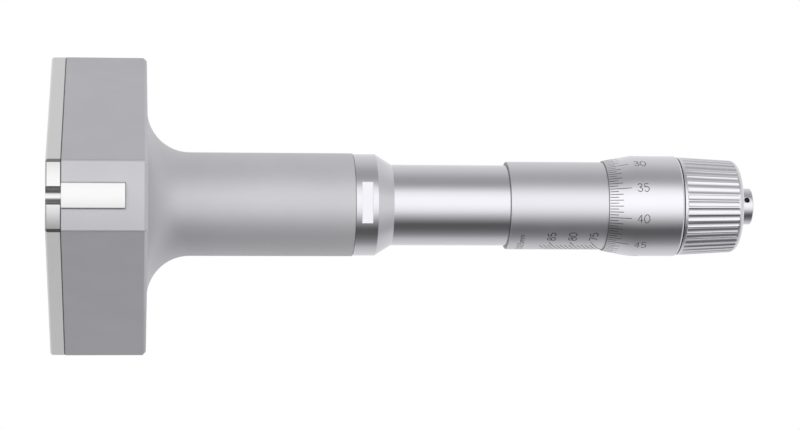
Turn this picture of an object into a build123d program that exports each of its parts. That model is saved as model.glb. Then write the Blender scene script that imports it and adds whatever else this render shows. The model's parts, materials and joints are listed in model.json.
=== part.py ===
from build123d import *
import math
import os

# Three-point inside micrometer, 75 to 88 mm, at its lowest setting. Millimetres.
# Each piece is drawn on the gauge's own axis: Z runs from the front face to the knob,
# X points along the first arm, and at the end everything is laid down as it rests on a bench.

# Clearances
RUNNING = 0.04  # each side of a sliding or turning fit
SEATED = 0.02  # each side of a fit that stays put
END_PLAY = 0.1  # along the axis, between a moving piece and its stop

# Measuring range and feed
SMALLEST_BORE = 75.0
LARGEST_BORE = 88.0
CONE_SLOPE = 0.5  # radius gained for each millimetre along the cone

# Head
ARMS = 3
FACE_PROUD = 1.0  # how far a measuring face stands out of its arm at the lowest setting
TIP_HALF_WIDTH = 7.8
HEAD_DEPTH = 19.05
COVER_THICKNESS = 3.4
CORNER_CHAMFER = 0.5
EDGE_CHAMFER = 0.8
NECK_FILLET = 10.0
STEM_RADIUS = 12.1
STEM_LENGTH = 47.95
STEM_WALL = 2.1  # around the barrel's spigot
NOTCH_RADIUS = 2.0

# Cover screws
SCREW_RADIUS = 1.5
SCREW_HEAD_RADIUS = 2.8
SCREW_LENGTH = 10.0
SCREW_CIRCLE = 17.0
SCREW_SOCKET_RADIUS = 1.1
SCREW_SOCKET_DEPTH = 1.1
SCREW_SINK = 0.15

# Measuring anvils
ANVIL_WIDTH = 5.75
ANVIL_LENGTH = 14.05
ANVIL_INNER_RADIUS = 2.23
FOOT_THICKNESS = 3.6
FOOT_RADIUS = 16.0
TIP_THICKNESS = 1.5
TIP_CROWN_RADIUS = 30.0

# Return springs
SPRING_ROOM = 5.0  # left for a spring when its anvil is right out
SPRING_WIRE_RADIUS = 0.25
SPRING_COIL_RADIUS = 1.35
SPRING_TURNS = 6

# Feed cone, its rod and the guide bush
NOSE_WALL = 1.4
NOSE_CLEARANCE = 0.2
NOSE_RADIUS = 1.9
CONE_LENGTH = 16.5
CONE_LAND = 1.9
CONE_BORE_CLEARANCE = 0.15
CONE_REAR_CLEARANCE = 1.0
ROD_RADIUS = 3.0
ROD_IN_CONE = 8.0
BUSH_RADIUS = 7.0
BUSH_LENGTH = 26.0
PIN_RADIUS = 1.0
PIN_HALF_LENGTH = 6.5
PIN_FROM_BUSH_END = 8.0
BALL_RADIUS = 2.5
BALL_FROM_RING = 8.3

# Barrel, which is ring, cone and tube in one
RING_STEP = 0.16  # from the stem down to the ring
RING_LENGTH = 5.3
RING_CONE_LENGTH = 3.9
RING_CHAMFER = 0.3
TUBE_RADIUS = 9.5
TUBE_SHOWN = 26.9
ROD_BORE_RADIUS = 4.6
RELIEF_BORE_RADIUS = 6.5
RELIEF_START = 12.0
FLAT_WIDTH = 2.5
FLAT_DEPTH = 1.0
FLAT_FROM_STEM = 1.55

# Graduated sleeve
SLEEVE_WALL = 0.83
SLEEVE_SHOWN = 23.5
SLEEVE_COVERED = 3.9
SLEEVE_CHAMFER = 0.2

# Spindle, its nut and the adjusting nut
THREAD_RADIUS = 4.0
NUT_SEAT_WALL = 2.0  # of the tube around the nut
NUT_LENGTH = 22.5
NUT_NECK_LENGTH = 3.5
NUT_SLIT_WIDTH = 0.6
NUT_SLIT_LENGTH = 9.0
ADJUSTER_CLEARANCE = 0.2
ADJUSTER_WALL = 1.88
ADJUSTER_LENGTH = 3.3
ADJUSTER_SLOT_WIDTH = 1.2
ADJUSTER_SLOT_DEPTH = 1.0
CUP_DEPTH = 3.5
HUB_TAPER_SMALL = 4.4
HUB_TAPER_LARGE = 5.0

# Thimble
THIMBLE_LIP = 0.26  # wall at the graduated edge
THIMBLE_WALL = 1.51
THIMBLE_TAPER_LENGTH = 6.6
THIMBLE_STRAIGHT_LENGTH = 10.75
THIMBLE_CHAMFER_LENGTH = 0.5
THIMBLE_CHAMFER_DEPTH = 0.4
THIMBLE_SHOULDER = 2.2  # from the thimble down to its extension
EXTENSION_WALL = 1.1
HUB_LENGTH = 3.5

# Friction knob
KNOB_GAP = 0.1
KNOB_LENGTH = 14.5
KNOB_STEP = 0.25  # from the thimble down to the knob
KNOB_TAPER = 0.6
KNOB_COLLAR_LENGTH = 0.6
KNOB_CORNER_LENGTH = 2.1
KNOB_CORNER_DEPTH = 1.9
KNOB_WEB = 2.2
FLUTES = 45
FLUTE_WIDTH = 0.5
FLUTE_DEPTH = 0.25
FLUTE_OVERRUN = 0.9  # past the start of the knob's corner
FIRST_FLUTE = 5.2

# Slip clutch inside the knob, and the end cap that holds the knob on
CLUTCH_THICKNESS = 1.8
CLUTCH_WIRE_RADIUS = 0.45
CLUTCH_COIL_RADIUS = 6.5
CLUTCH_TURNS = 3
CAP_RADIUS = 4.3
CAP_LENGTH = 3.5
CAP_CHAMFER = 0.3
CAP_NECK_RADIUS = 3.4
CAP_SHANK_RADIUS = 2.0
CAP_SHANK_LENGTH = 9.0
TOMMY_RADIUS = 0.65
TOMMY_FROM_END = 1.55
TOMMY_TURN = -18.0

# Worked out from the sizes above
RADIAL_TRAVEL = (LARGEST_BORE - SMALLEST_BORE) / 2
FEED = RADIAL_TRAVEL / CONE_SLOPE
FACE_RADIUS = SMALLEST_BORE / 2
TIP_RADIUS = FACE_RADIUS - FACE_PROUD
ARM_ANGLE = 360 / ARMS
HALF_ARM_ANGLE = math.radians(ARM_ANGLE / 2)
FLANK_DISTANCE = TIP_RADIUS * math.cos(HALF_ARM_ANGLE) + TIP_HALF_WIDTH * math.sin(HALF_ARM_ANGLE)

POCKET_RADIUS = FOOT_RADIUS + RADIAL_TRAVEL + SPRING_ROOM
SPIGOT_RADIUS = STEM_RADIUS - STEM_WALL
RING_RADIUS = STEM_RADIUS - RING_STEP
NUT_RADIUS = TUBE_RADIUS - NUT_SEAT_WALL
SLEEVE_RADIUS = TUBE_RADIUS + SEATED + SLEEVE_WALL
THIMBLE_BORE_RADIUS = SLEEVE_RADIUS + RUNNING
THIMBLE_EDGE_RADIUS = THIMBLE_BORE_RADIUS + THIMBLE_LIP
THIMBLE_RADIUS = THIMBLE_BORE_RADIUS + THIMBLE_WALL
EXTENSION_RADIUS = THIMBLE_RADIUS - THIMBLE_SHOULDER
EXTENSION_BORE_RADIUS = EXTENSION_RADIUS - EXTENSION_WALL
ADJUSTER_RADIUS = EXTENSION_BORE_RADIUS - ADJUSTER_CLEARANCE
NUT_NECK_RADIUS = ADJUSTER_RADIUS - ADJUSTER_WALL - SEATED
KNOB_FRONT_RADIUS = THIMBLE_RADIUS - KNOB_STEP
KNOB_REAR_RADIUS = KNOB_FRONT_RADIUS - KNOB_TAPER

# Places along the axis, from the front face
HEAD_REAR = COVER_THICKNESS + HEAD_DEPTH
STEM_END = HEAD_REAR + STEM_LENGTH
RING_END = STEM_END + RING_LENGTH
TUBE_START = RING_END + RING_CONE_LENGTH
SLEEVE_START = TUBE_START + TUBE_SHOWN
THIMBLE_EDGE = SLEEVE_START + SLEEVE_SHOWN
BARREL_END = THIMBLE_EDGE + SLEEVE_COVERED
TAPER_END = THIMBLE_EDGE + THIMBLE_TAPER_LENGTH
STRAIGHT_END = TAPER_END + THIMBLE_STRAIGHT_LENGTH
THIMBLE_END = STRAIGHT_END + THIMBLE_CHAMFER_LENGTH
KNOB_START = THIMBLE_END + KNOB_GAP
KNOB_END = KNOB_START + KNOB_LENGTH
KNOB_CORNER = KNOB_END - KNOB_CORNER_LENGTH

ANVIL_FRONT = COVER_THICKNESS + RUNNING
ANVIL_REAR = ANVIL_FRONT + ANVIL_LENGTH
FOOT_REAR = ANVIL_REAR + FOOT_THICKNESS
NOSE = NOSE_WALL + NOSE_CLEARANCE + FEED
CONE_BASE_RADIUS = NOSE_RADIUS + CONE_SLOPE * CONE_LENGTH
CONE_BASE = NOSE + CONE_LENGTH
CONE_REAR = CONE_BASE + CONE_LAND
CONE_BORE_RADIUS = CONE_BASE_RADIUS + CONE_BORE_CLEARANCE
BUSH_START = CONE_REAR + CONE_REAR_CLEARANCE
BUSH_END = BUSH_START + BUSH_LENGTH
PIN_PLACE = BUSH_END - PIN_FROM_BUSH_END
ROD_END = RING_END + BALL_FROM_RING
BALL_PLACE = ROD_END + SEATED + BALL_RADIUS
SPINDLE_FRONT = BALL_PLACE + BALL_RADIUS + SEATED - CUP_DEPTH
NUT_START = BARREL_END - NUT_LENGTH
NUT_END = BARREL_END + NUT_NECK_LENGTH
CAVITY_STEP = BARREL_END + FEED + END_PLAY
CAVITY_END = NUT_END + FEED + END_PLAY
HUB_END = CAVITY_END + HUB_LENGTH
CLUTCH_START = HUB_END + RUNNING
CLUTCH_END = CLUTCH_START + CLUTCH_THICKNESS
WEB_START = KNOB_END - KNOB_WEB
CAP_START = KNOB_END + RUNNING
CAP_END = CAP_START + CAP_LENGTH

# Lying at rest, the gauge touches the bench at the rear edge of one head flank and at the knob's end.
REST_RISE = FLANK_DISTANCE - KNOB_REAR_RADIUS
REST_RUN = KNOB_CORNER - (HEAD_REAR - EDGE_CHAMFER)
REST_TILT = math.atan2(REST_RISE, REST_RUN)
LYING = Plane(
    origin=(0, 0, 0),
    x_dir=(math.sin(REST_TILT), 0, math.cos(REST_TILT)),
    z_dir=(math.cos(REST_TILT), 0, -math.sin(REST_TILT)),
).location


def turned(*points):
    """A solid turned about the axis from (radius, place) corners."""
    outline = Polyline(*[(radius, 0, place) for radius, place in points], close=True)
    return revolve(make_face(outline), Axis.Z)


def rod(radius, start, end):
    """A plain cylinder on the axis."""
    return turned((0, start), (radius, start), (radius, end), (0, end))


def tube(inner, outer, start, end):
    """A plain ring on the axis."""
    return turned((inner, start), (outer, start), (outer, end), (inner, end))


def block(near, far, width, start, end):
    """A box along the first arm, from one radius to another."""
    size = Box(far - near, width, end - start, align=(Align.MIN, Align.CENTER, Align.MIN))
    return Pos(near, 0, start) * size


def coil(coil_radius, wire_radius, turns, length):
    """A helical spring of the given overall length, standing on the origin along Z."""
    height = length - 2 * wire_radius
    path = Helix(pitch=height / turns, height=height, radius=coil_radius)
    wire = Plane(origin=path @ 0, z_dir=path % 0) * Circle(wire_radius)
    return Pos(0, 0, wire_radius) * sweep(wire, path=path)


def around_arms(shape, turn=0):
    """Copies of a shape, one to each arm."""
    return [Rot(0, 0, turn + ARM_ANGLE * arm) * shape for arm in range(ARMS)]


def head_outline():
    """The head seen along the axis: flat arm ends joined by straight flanks."""
    corners = []
    for arm in range(ARMS):
        for side in (-1, 1):
            corner = Vector(TIP_RADIUS, side * TIP_HALF_WIDTH)
            corners.append(corner.rotate(Axis.Z, ARM_ANGLE * arm))
    return make_face(Polyline(*corners, close=True))


def head_block(start, depth):
    """A slice of the head with its upright corners broken."""
    slab = Pos(0, 0, start) * extrude(head_outline(), depth)
    return chamfer(slab.edges().filter_by(Axis.Z), CORNER_CHAMFER)


def make_head_body():
    """The cast head with its stem, bored for the cone, the bush and the barrel."""
    body = head_block(COVER_THICKNESS, HEAD_DEPTH)
    body = chamfer(body.faces().sort_by(Axis.Z)[-1].edges(), EDGE_CHAMFER)
    fillet_foot = (STEM_RADIUS + NECK_FILLET, 0, HEAD_REAR)
    fillet_top = (STEM_RADIUS, 0, HEAD_REAR + NECK_FILLET)
    reach = NECK_FILLET * (1 - math.sqrt(0.5))
    fillet_middle = (STEM_RADIUS + reach, 0, HEAD_REAR + reach)
    stem = Polyline(
        fillet_top,
        (STEM_RADIUS, 0, STEM_END),
        (0, 0, STEM_END),
        (0, 0, COVER_THICKNESS),
        (STEM_RADIUS + NECK_FILLET, 0, COVER_THICKNESS),
        fillet_foot,
    )
    neck = ThreePointArc(fillet_foot, fillet_middle, fillet_top)
    body += revolve(make_face([neck, stem]), Axis.Z)
    body -= rod(CONE_BORE_RADIUS, COVER_THICKNESS, BUSH_START)
    body -= rod(BUSH_RADIUS, BUSH_START, BUSH_END)
    body -= rod(SPIGOT_RADIUS, BUSH_END, STEM_END)
    slot_width = ANVIL_WIDTH + 2 * RUNNING
    slot = block(0, TIP_RADIUS + TIP_HALF_WIDTH, slot_width, COVER_THICKNESS, ANVIL_REAR + RUNNING)
    pocket = block(0, POCKET_RADIUS, slot_width, COVER_THICKNESS, FOOT_REAR + RUNNING)
    hole_end = SCREW_SINK + SCREW_LENGTH + END_PLAY
    hole = Pos(SCREW_CIRCLE, 0, 0) * rod(SCREW_RADIUS, COVER_THICKNESS, hole_end)
    body -= around_arms(slot)
    body -= around_arms(pocket)
    body -= around_arms(hole, ARM_ANGLE / 2)
    return body


def make_front_cover():
    """The cover plate, hollowed at the back for the cone's nose."""
    cover = head_block(0, COVER_THICKNESS)
    cover = chamfer(cover.faces().sort_by(Axis.Z)[0].edges(), EDGE_CHAMFER)
    nose_room = NOSE_RADIUS + CONE_SLOPE * COVER_THICKNESS
    cover -= rod(nose_room, NOSE_WALL, COVER_THICKNESS)
    notch = Pos(TIP_RADIUS, 0, 0) * rod(NOTCH_RADIUS, 0, COVER_THICKNESS)
    cover -= around_arms(notch)
    sink = SCREW_HEAD_RADIUS - SCREW_RADIUS
    hole = turned(
        (0, 0),
        (SCREW_HEAD_RADIUS + SEATED, 0),
        (SCREW_HEAD_RADIUS + SEATED, SCREW_SINK),
        (SCREW_RADIUS + SEATED, SCREW_SINK + sink),
        (SCREW_RADIUS + SEATED, COVER_THICKNESS),
        (0, COVER_THICKNESS),
    )
    cover -= around_arms(Pos(SCREW_CIRCLE, 0, 0) * hole, ARM_ANGLE / 2)
    return cover


def make_cover_screws():
    """Three countersunk socket screws between the arms."""
    sink = SCREW_HEAD_RADIUS - SCREW_RADIUS
    screw = turned(
        (0, SCREW_SINK),
        (SCREW_HEAD_RADIUS, SCREW_SINK),
        (SCREW_RADIUS - SEATED, SCREW_SINK + sink),
        (SCREW_RADIUS - SEATED, SCREW_SINK + SCREW_LENGTH),
        (0, SCREW_SINK + SCREW_LENGTH),
    )
    socket = extrude(RegularPolygon(SCREW_SOCKET_RADIUS, 6), SCREW_SOCKET_DEPTH)
    screw -= Pos(0, 0, SCREW_SINK) * socket
    return Compound(around_arms(Pos(SCREW_CIRCLE, 0, 0) * screw, ARM_ANGLE / 2))


def ramp_radius(place):
    """Radius of an anvil's sloping end, which lies flat along the cone's side."""
    side_gap = RUNNING * math.hypot(1, CONE_SLOPE)
    return NOSE_RADIUS + CONE_SLOPE * (place - NOSE) + side_gap


def make_anvil():
    """The steel slide of the first arm, with its ramp and spring foot."""
    ramp_start = NOSE + (ANVIL_INNER_RADIUS - ramp_radius(NOSE)) / CONE_SLOPE
    seat = FACE_RADIUS - TIP_THICKNESS
    side = Polyline(
        (ANVIL_INNER_RADIUS, 0, ANVIL_FRONT),
        (seat, 0, ANVIL_FRONT),
        (seat, 0, ANVIL_REAR),
        (FOOT_RADIUS, 0, ANVIL_REAR),
        (FOOT_RADIUS, 0, FOOT_REAR),
        (ramp_radius(FOOT_REAR), 0, FOOT_REAR),
        (ANVIL_INNER_RADIUS, 0, ramp_start),
        close=True,
    )
    return extrude(make_face(side), ANVIL_WIDTH / 2, both=True)


def make_anvil_tip():
    """The hard face brazed on the first anvil, crowned across its width."""
    seat = FACE_RADIUS - TIP_THICKNESS
    plate = block(seat, FACE_RADIUS, ANVIL_WIDTH, ANVIL_FRONT, ANVIL_REAR)
    crown = Pos(FACE_RADIUS - TIP_CROWN_RADIUS, 0, 0) * rod(TIP_CROWN_RADIUS, ANVIL_FRONT, ANVIL_REAR)
    return plate & crown


def make_return_spring():
    """The coil that pushes the first anvil back onto the cone."""
    length = POCKET_RADIUS - FOOT_RADIUS - 2 * SEATED
    place = (ANVIL_REAR + FOOT_REAR + 2 * RUNNING) / 2
    spring = coil(SPRING_COIL_RADIUS, SPRING_WIRE_RADIUS, SPRING_TURNS, length)
    return Pos(FOOT_RADIUS + SEATED, 0, place) * Rot(0, 90, 0) * spring


def make_feed_cone():
    """The cone that spreads the anvils, bored at the back for its rod."""
    socket = ROD_RADIUS + SEATED
    return turned(
        (0, NOSE),
        (NOSE_RADIUS, NOSE),
        (CONE_BASE_RADIUS, CONE_BASE),
        (CONE_BASE_RADIUS, CONE_REAR),
        (socket, CONE_REAR),
        (socket, CONE_REAR - ROD_IN_CONE),
        (0, CONE_REAR - ROD_IN_CONE),
    )


def make_push_rod():
    """The rod between the cone and the spindle's ball, cross-drilled for its pin."""
    shaft = rod(ROD_RADIUS, CONE_REAR - ROD_IN_CONE, ROD_END)
    hole = Pos(0, 0, PIN_PLACE) * Rot(90, 0, 0) * Cylinder(PIN_RADIUS + SEATED, 2 * STEM_RADIUS)
    return shaft - hole


def make_guide_pin():
    """The cross pin that keeps the rod and the cone from turning."""
    return Pos(0, 0, PIN_PLACE) * Rot(90, 0, 0) * Cylinder(PIN_RADIUS, 2 * PIN_HALF_LENGTH)


def make_guide_bush():
    """The rod's bush, slotted for the travel of the pin."""
    bush = tube(ROD_RADIUS + RUNNING, BUSH_RADIUS - SEATED, BUSH_START, BUSH_END)
    slot_half = PIN_RADIUS + RUNNING
    slot_start = PIN_PLACE - FEED - slot_half - END_PLAY
    slot_end = PIN_PLACE + slot_half + END_PLAY
    slot = Box(2 * slot_half, 2 * BUSH_RADIUS, slot_end - slot_start)
    return bush - Pos(0, 0, (slot_start + slot_end) / 2) * slot


def make_barrel():
    """Spigot, ring with two spanner flats, cone and tube, turned in one piece."""
    relief = TUBE_START + RELIEF_START
    barrel = turned(
        (ROD_BORE_RADIUS, BUSH_END),
        (SPIGOT_RADIUS - SEATED, BUSH_END),
        (SPIGOT_RADIUS - SEATED, STEM_END),
        (RING_RADIUS - RING_CHAMFER, STEM_END),
        (RING_RADIUS, STEM_END + RING_CHAMFER),
        (RING_RADIUS, RING_END),
        (TUBE_RADIUS, TUBE_START),
        (TUBE_RADIUS, BARREL_END),
        (NUT_RADIUS, BARREL_END),
        (NUT_RADIUS, NUT_START),
        (RELIEF_BORE_RADIUS, NUT_START),
        (RELIEF_BORE_RADIUS, relief),
        (ROD_BORE_RADIUS, relief - (RELIEF_BORE_RADIUS - ROD_BORE_RADIUS)),
    )
    flat_start = STEM_END + FLAT_FROM_STEM
    flat = block(RING_RADIUS - FLAT_DEPTH, 2 * RING_RADIUS, 2 * RING_RADIUS, flat_start, flat_start + FLAT_WIDTH)
    return barrel - [flat, Rot(0, 0, 180) * flat]


def make_graduated_sleeve():
    """The sleeve that carries the millimetre scale."""
    return turned(
        (TUBE_RADIUS + SEATED, SLEEVE_START),
        (SLEEVE_RADIUS - SLEEVE_CHAMFER, SLEEVE_START),
        (SLEEVE_RADIUS, SLEEVE_START + SLEEVE_CHAMFER),
        (SLEEVE_RADIUS, BARREL_END),
        (TUBE_RADIUS + SEATED, BARREL_END),
    )


def make_spindle_nut():
    """The nut for the spindle's thread, slit so that the adjusting nut can close it."""
    nut = turned(
        (THREAD_RADIUS + RUNNING, NUT_START + SEATED),
        (NUT_RADIUS - SEATED, NUT_START + SEATED),
        (NUT_RADIUS - SEATED, BARREL_END),
        (NUT_NECK_RADIUS, BARREL_END),
        (NUT_NECK_RADIUS, NUT_END),
        (THREAD_RADIUS + RUNNING, NUT_END),
    )
    slit = block(0, NUT_RADIUS, NUT_SLIT_WIDTH, NUT_END - NUT_SLIT_LENGTH, NUT_END)
    return nut - around_arms(slit)


def make_adjusting_nut():
    """The ring that takes up wear in the spindle nut."""
    start = NUT_END - ADJUSTER_LENGTH
    ring = tube(NUT_NECK_RADIUS + SEATED, ADJUSTER_RADIUS, start, NUT_END)
    slot = Box(2 * ADJUSTER_RADIUS, ADJUSTER_SLOT_WIDTH, ADJUSTER_SLOT_DEPTH)
    return ring - Pos(0, 0, NUT_END - ADJUSTER_SLOT_DEPTH / 2) * slot


def make_spindle():
    """The measuring screw, with a cup for the ball and a taper for the thimble."""
    cup = BALL_RADIUS + SEATED
    return turned(
        (0, SPINDLE_FRONT + CUP_DEPTH),
        (cup, SPINDLE_FRONT + CUP_DEPTH),
        (cup, SPINDLE_FRONT),
        (THREAD_RADIUS, SPINDLE_FRONT),
        (THREAD_RADIUS, CAVITY_END - SEATED),
        (HUB_TAPER_SMALL - SEATED, CAVITY_END - SEATED),
        (HUB_TAPER_LARGE - SEATED, HUB_END - SEATED),
        (CAP_SHANK_RADIUS + SEATED, HUB_END - SEATED),
        (CAP_SHANK_RADIUS + SEATED, HUB_END - CAP_SHANK_LENGTH - END_PLAY),
        (0, HUB_END - CAP_SHANK_LENGTH - END_PLAY),
    )


def make_thrust_ball():
    """The ball between the turning spindle and the rod that only slides."""
    return Pos(0, 0, BALL_PLACE) * Sphere(BALL_RADIUS)


def make_thimble():
    """The graduated thimble, with an extension that carries the knob."""
    return turned(
        (THIMBLE_BORE_RADIUS, THIMBLE_EDGE),
        (THIMBLE_EDGE_RADIUS, THIMBLE_EDGE),
        (THIMBLE_RADIUS, TAPER_END),
        (THIMBLE_RADIUS, STRAIGHT_END),
        (THIMBLE_RADIUS - THIMBLE_CHAMFER_DEPTH, THIMBLE_END),
        (EXTENSION_RADIUS, THIMBLE_END),
        (EXTENSION_RADIUS, HUB_END),
        (HUB_TAPER_LARGE, HUB_END),
        (HUB_TAPER_SMALL, CAVITY_END),
        (EXTENSION_BORE_RADIUS, CAVITY_END),
        (EXTENSION_BORE_RADIUS, CAVITY_STEP),
        (THIMBLE_BORE_RADIUS, CAVITY_STEP),
    )


def knob_radius(place):
    """Radius of the knob's gently tapered side."""
    share = (place - KNOB_START) / (KNOB_CORNER - KNOB_START)
    return KNOB_FRONT_RADIUS + share * (KNOB_REAR_RADIUS - KNOB_FRONT_RADIUS)


def make_friction_knob():
    """The fluted knob, hollow for the thimble's extension and the slip clutch."""
    inner = EXTENSION_RADIUS + RUNNING
    neck = CAP_NECK_RADIUS + RUNNING
    side_end = (KNOB_REAR_RADIUS, 0, KNOB_CORNER)
    face_edge = (KNOB_REAR_RADIUS - KNOB_CORNER_DEPTH, 0, KNOB_END)
    side = (KNOB_REAR_RADIUS - KNOB_FRONT_RADIUS, 0, KNOB_CORNER - KNOB_START)
    corner = TangentArc(side_end, face_edge, tangent=side)
    walls = Polyline(
        face_edge,
        (neck, 0, KNOB_END),
        (neck, 0, WEB_START),
        (inner, 0, WEB_START),
        (inner, 0, KNOB_START),
        (KNOB_FRONT_RADIUS, 0, KNOB_START),
        side_end,
    )
    knob = revolve(make_face([corner, walls]), Axis.Z)
    floor_start = KNOB_START + KNOB_COLLAR_LENGTH + FLUTE_DEPTH
    floor_end = KNOB_CORNER + FLUTE_OVERRUN - FLUTE_DEPTH
    groove = Polyline(
        (knob_radius(floor_start) - FLUTE_DEPTH, 0, floor_start),
        (knob_radius(floor_end) - FLUTE_DEPTH, 0, floor_end),
        (2 * KNOB_FRONT_RADIUS, 0, floor_end + KNOB_FRONT_RADIUS),
        (2 * KNOB_FRONT_RADIUS, 0, floor_start - KNOB_FRONT_RADIUS),
        close=True,
    )
    flute = extrude(make_face(groove), FLUTE_WIDTH / 2, both=True)
    return knob - [Rot(0, 0, FIRST_FLUTE + 360 / FLUTES * turn) * flute for turn in range(FLUTES)]


def make_clutch_disc():
    """The disc that drags on the thimble's hub until the measuring force is reached."""
    return tube(CAP_NECK_RADIUS + RUNNING, EXTENSION_RADIUS, CLUTCH_START, CLUTCH_END)


def make_clutch_spring():
    """The coil that presses the clutch disc against the hub."""
    length = WEB_START - CLUTCH_END - 2 * SEATED
    spring = coil(CLUTCH_COIL_RADIUS, CLUTCH_WIRE_RADIUS, CLUTCH_TURNS, length)
    return Pos(0, 0, CLUTCH_END + SEATED) * spring


def make_end_cap():
    """The screw that closes the knob, with a cross hole for a tommy bar."""
    cap = turned(
        (0, HUB_END - CAP_SHANK_LENGTH),
        (CAP_SHANK_RADIUS, HUB_END - CAP_SHANK_LENGTH),
        (CAP_SHANK_RADIUS, HUB_END),
        (CAP_NECK_RADIUS, HUB_END),
        (CAP_NECK_RADIUS, CAP_START),
        (CAP_RADIUS, CAP_START),
        (CAP_RADIUS, CAP_END - CAP_CHAMFER),
        (CAP_RADIUS - CAP_CHAMFER, CAP_END),
        (0, CAP_END),
    )
    hole = Pos(0, 0, CAP_END - TOMMY_FROM_END) * Rot(0, 90, 0) * Cylinder(TOMMY_RADIUS, 3 * CAP_RADIUS)
    return cap - Rot(0, 0, TOMMY_TURN) * hole


def all_pieces():
    """Every piece by its node name, still standing on its own axis."""
    pieces = {
        "head_body": make_head_body(),
        "front_cover": make_front_cover(),
        "cover_screws": make_cover_screws(),
        "guide_bush": make_guide_bush(),
        "barrel": make_barrel(),
        "graduated_sleeve": make_graduated_sleeve(),
        "spindle_nut": make_spindle_nut(),
        "adjusting_nut": make_adjusting_nut(),
        "feed_cone": make_feed_cone(),
        "push_rod": make_push_rod(),
        "guide_pin": make_guide_pin(),
        "spindle": make_spindle(),
        "thrust_ball": make_thrust_ball(),
        "thimble": make_thimble(),
        "end_cap": make_end_cap(),
        "friction_knob": make_friction_knob(),
        "clutch_disc": make_clutch_disc(),
        "clutch_spring": make_clutch_spring(),
    }
    for name, shape in (
        ("anvil", make_anvil()),
        ("anvil_tip", make_anvil_tip()),
        ("return_spring", make_return_spring()),
    ):
        for number, copy in enumerate(around_arms(shape), start=1):
            pieces[f"{name}_{number}"] = copy
    return pieces


os.makedirs("parts", exist_ok=True)
for node, piece in all_pieces().items():
    export_step(LYING * piece, f"parts/{node}.step")
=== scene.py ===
import json
import math

import bmesh
import bpy
from mathutils import Matrix, Vector


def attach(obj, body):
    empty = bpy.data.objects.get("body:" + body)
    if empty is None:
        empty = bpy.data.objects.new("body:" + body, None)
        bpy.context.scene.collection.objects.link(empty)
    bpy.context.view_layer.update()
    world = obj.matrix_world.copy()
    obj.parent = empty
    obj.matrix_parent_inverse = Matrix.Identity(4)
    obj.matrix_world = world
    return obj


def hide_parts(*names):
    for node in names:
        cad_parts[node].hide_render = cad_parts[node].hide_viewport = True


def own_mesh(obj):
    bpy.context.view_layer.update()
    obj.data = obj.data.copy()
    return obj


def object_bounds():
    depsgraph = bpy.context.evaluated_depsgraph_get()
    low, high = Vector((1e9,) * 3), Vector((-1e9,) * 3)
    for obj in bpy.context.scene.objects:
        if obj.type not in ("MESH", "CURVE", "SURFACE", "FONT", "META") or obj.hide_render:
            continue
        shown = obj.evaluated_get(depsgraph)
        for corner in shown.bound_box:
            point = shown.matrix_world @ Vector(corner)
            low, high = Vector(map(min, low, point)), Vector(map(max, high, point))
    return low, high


# Three-point inside micrometer, 75 to 88 mm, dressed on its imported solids.
# Shapes are drawn in millimetres on the gauge's own axis: Z runs from the front face to the knob and
# X points along the first arm. The last step of each piece lays it down in the frame, in metres.

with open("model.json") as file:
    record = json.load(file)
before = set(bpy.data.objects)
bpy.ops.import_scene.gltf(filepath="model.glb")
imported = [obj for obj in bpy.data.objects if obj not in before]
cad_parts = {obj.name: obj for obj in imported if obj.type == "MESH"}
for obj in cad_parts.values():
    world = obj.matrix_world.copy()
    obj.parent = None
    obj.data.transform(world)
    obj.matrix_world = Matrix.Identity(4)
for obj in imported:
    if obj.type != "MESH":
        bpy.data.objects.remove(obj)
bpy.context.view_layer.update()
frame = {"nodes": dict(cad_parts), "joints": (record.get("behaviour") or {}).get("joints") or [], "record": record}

# The gauge's own axes, from the frame
MM = 0.001
MOUNTS = {mount["name"]: mount for mount in frame["record"]["mounts"]}
JOINTS = {joint["name"]: joint for joint in frame["joints"]}
AXIS = Vector(MOUNTS["stem"]["axis"]).normalized()
FIRST_ARM = Vector(JOINTS["anvil_slide_1"]["axis"]).normalized()
LYING = Matrix((FIRST_ARM, AXIS.cross(FIRST_ARM), AXIS)).transposed().to_4x4()
TO_FRAME = LYING @ Matrix.Scale(MM, 4)
TO_GAUGE = TO_FRAME.inverted()


def reach(node):
    """Where a CAD node starts and ends along the axis, and its greatest radius, in millimetres."""
    points = [TO_GAUGE @ vertex.co for vertex in frame["nodes"][node].data.vertices]
    places = [point.z for point in points]
    radii = [math.hypot(point.x, point.y) for point in points]
    return min(places), max(places), max(radii)


# Places and radii read from the frame
_, COVER_REAR, _ = reach("front_cover")
_, STEM_END, _ = reach("head_body")
BUSH_START, BUSH_END, BUSH_RADIUS = reach("guide_bush")
_, BARREL_END, RING_RADIUS = reach("barrel")
NUT_START, _, NUT_RADIUS = reach("spindle_nut")
SLEEVE_START, _, SLEEVE_RADIUS = reach("graduated_sleeve")
THIMBLE_EDGE, HUB_END, THIMBLE_RADIUS = reach("thimble")
KNOB_START, KNOB_END, KNOB_FRONT_RADIUS = reach("friction_knob")
_, CAP_END, CAP_RADIUS = reach("end_cap")
TIP_FRONT, TIP_REAR, FACE_RADIUS = reach("anvil_tip_1")
_, _, EXTENSION_RADIUS = reach("clutch_disc")
_, _, CONE_BASE_RADIUS = reach("feed_cone")
_, ADJUSTER_END, ADJUSTER_RADIUS = reach("adjusting_nut")
STEM_RADIUS = MOUNTS["stem"]["dims"]["r_mm"]
TRAVEL = JOINTS["anvil_slide_1"]["range_m"][1] / MM
FEED = JOINTS["cone_feed"]["range_m"][1] / MM

# Clearances
RUNNING = 0.04
SEATED = 0.02
END_PLAY = 0.1

# How far a cutting shape reaches past the face that it cuts
OVERCUT = 1.0

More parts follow.
